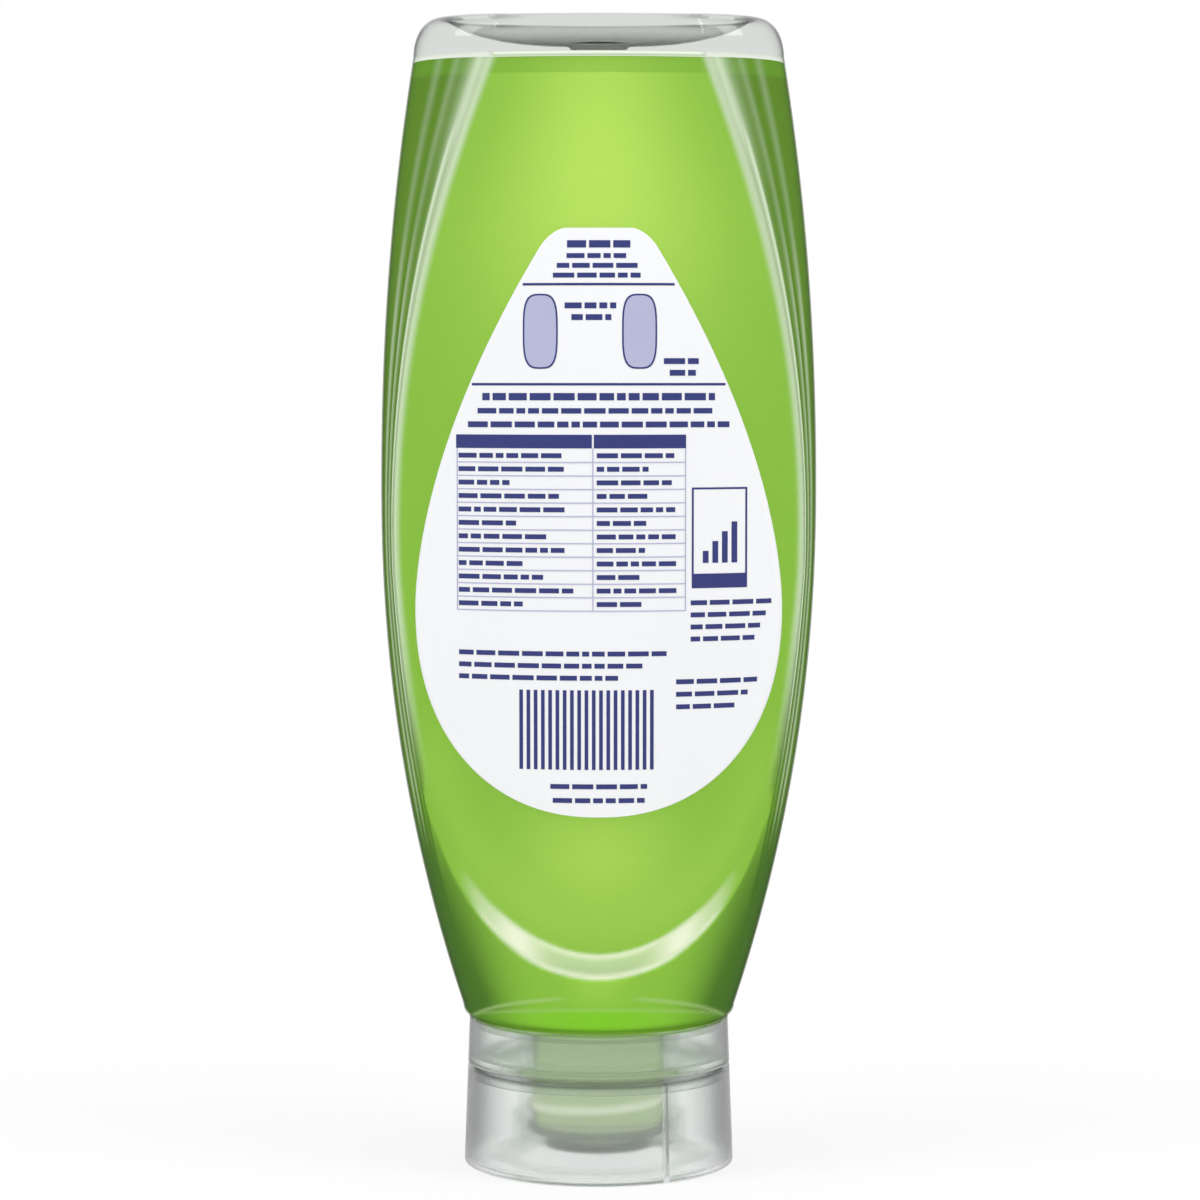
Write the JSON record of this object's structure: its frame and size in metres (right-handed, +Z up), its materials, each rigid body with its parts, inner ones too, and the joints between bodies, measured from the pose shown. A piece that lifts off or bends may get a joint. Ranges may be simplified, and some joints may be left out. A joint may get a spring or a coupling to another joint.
{
  "type": "inverted dish soap squeeze bottle",
  "caption": "Clear oval squeeze bottle of green liquid soap that stands on its round translucent screw cap with a self-closing valve, and has a leaf-shaped label on both broad sides.",
  "frame": {"origin": "centre of the cap's foot ring, on the plane the bottle stands on", "axes": "+Z up from the cap to the closed end, X across the wide side, the back label faces -Y"},
  "size_m": [0.0922, 0.058, 0.2427],
  "materials": {
    "clear_plastic": "gloss",
    "soap": "gloss",
    "back_label": "satin",
    "front_label": "satin",
    "cap_collar": "satin",
    "cap_foot": "satin",
    "gasket": "matte",
    "silicone": "satin",
    "retainer": "satin",
    "seal_film": "satin"
  },
  "bodies": {
    "cap": {"cap_collar": "cap_collar", "cap_foot": "cap_foot", "valve": "silicone", "valve_retainer": "retainer", "peel_seal": "seal_film"},
    "gasket": {"neck_gasket": "gasket"},
    "bottle": {"bottle": "clear_plastic", "soap": "soap", "back_label": "back_label", "front_label": "front_label"}
  },
  "joints": [
    {"name": "bottle_turn", "type": "hinge", "parent": "cap", "child": "gasket", "pos_m": [0, 0, 0], "axis": [0, 0, 1], "range_deg": [0, 720]},
    {"name": "bottle_rise", "type": "slide", "parent": "gasket", "child": "bottle", "axis": [0, 0, 1], "range_m": [0, 0.008]}
  ],
  "couplings": [
    {"joint": "bottle_rise", "follows": "bottle_turn", "m_per_rad": 0.0006366}
  ]
}
